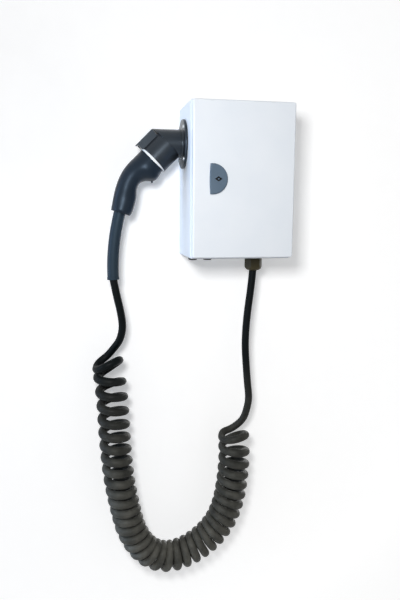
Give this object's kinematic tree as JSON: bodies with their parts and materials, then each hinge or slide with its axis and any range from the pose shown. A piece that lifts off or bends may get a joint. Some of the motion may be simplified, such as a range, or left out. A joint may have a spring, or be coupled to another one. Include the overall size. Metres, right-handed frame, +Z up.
{
  "type": "ev wallbox",
  "caption": "Wall-mounted EV charging enclosure with a hinged locking door, an angled plug holder on its left side and a spiral charging cable that hangs in a U.",
  "frame": {"origin": "centre of the enclosure's back face, in the plane of the wall, at the middle of its four bolt holes", "axes": "+X to the right as seen by someone facing the door, +Y into the wall, +Z up"},
  "size_m": [0.4011, 0.1645, 1.0087],
  "materials": {
    "white_powder_coat": "smooth white powder coat, satin",
    "zinc_steel": "zinc-plated steel, satin",
    "holder_plastic": "moulded black polyamide, satin",
    "handle_plastic": "moulded blue-black polyamide, fine texture",
    "collar_plastic": "moulded white plastic, gloss",
    "cable_rubber": "black polyurethane sheath, matt",
    "seal_rubber": "black rubber and foam, matt",
    "lock_plastic": "moulded blue-grey plastic, satin",
    "gland_plastic": "moulded olive-grey polyamide, matt",
    "plug_plastic": "moulded black polyamide, matt",
    "device_plastic": "moulded light grey plastic, matt",
    "lever_plastic": "moulded dark plastic, gloss",
    "button_plastic": "moulded yellow plastic, gloss",
    "terminal_grey": "moulded grey polyamide, matt",
    "terminal_blue": "moulded blue polyamide, matt",
    "terminal_green": "moulded green polyamide, matt"
  },
  "bodies": {
    "root": {"enclosure_body": "white_powder_coat", "mounting_plate": "zinc_steel", "plate_studs": "zinc_steel", "plate_nuts": "zinc_steel", "earth_stud": "zinc_steel", "earth_nut": "zinc_steel", "din_rail_upper": "zinc_steel", "din_rail_lower": "zinc_steel", "rail_screws": "zinc_steel", "rccb_body": "device_plastic", "contactor": "device_plastic", "charge_controller": "device_plastic", "line_terminals": "terminal_grey", "neutral_terminal": "terminal_blue", "earth_terminal": "terminal_green", "end_stops": "terminal_grey", "gland_body": "gland_plastic", "gland_nut": "gland_plastic", "gland_seal": "seal_rubber", "gland_locknut": "gland_plastic", "cable_entry": "cable_rubber", "blanking_plugs": "plug_plastic", "blanking_locknuts": "plug_plastic", "plug_holder": "holder_plastic", "holder_gasket": "seal_rubber", "holder_screws": "zinc_steel", "holder_nuts": "zinc_steel", "connector_nose": "handle_plastic", "connector_collar": "collar_plastic", "connector_handle": "handle_plastic", "kink_sleeve": "cable_rubber", "cable_upper": "cable_rubber", "cable_coil": "cable_rubber", "cable_lower": "cable_rubber", "hinge_brackets": "zinc_steel", "hinge_pins": "zinc_steel"},
    "door": {"door_panel": "white_powder_coat", "door_gasket": "seal_rubber", "hinge_leaves": "zinc_steel", "lock_housing": "lock_plastic", "lock_nut": "zinc_steel"},
    "lock": {"lock_core": "lock_plastic", "lock_cam": "zinc_steel", "cam_screw": "zinc_steel"},
    "rccb_toggle": {"rccb_lever": "lever_plastic"},
    "rccb_test": {"rccb_test_button": "button_plastic"}
  },
  "joints": [
    {"name": "door_hinge", "type": "hinge", "parent": "root", "child": "door", "pos_m": [0.095, -0.152, 0], "axis": [0, 0, 1], "range_deg": [0, 110]},
    {"name": "lock_turn", "type": "hinge", "parent": "door", "child": "lock", "pos_m": [-0.052, -0.15, 0.002], "axis": [0, -1, 0], "range_deg": [0, 90]},
    {"name": "rccb_lever_tilt", "type": "hinge", "parent": "root", "child": "rccb_toggle", "pos_m": [-0.004, -0.0735, 0.058], "axis": [1, 0, 0], "range_deg": [0, 60]},
    {"name": "rccb_test_press", "type": "slide", "parent": "root", "child": "rccb_test", "axis": [0, 1, 0], "range_m": [0, 0.002], "stiffness_N_per_m": 300}
  ]
}
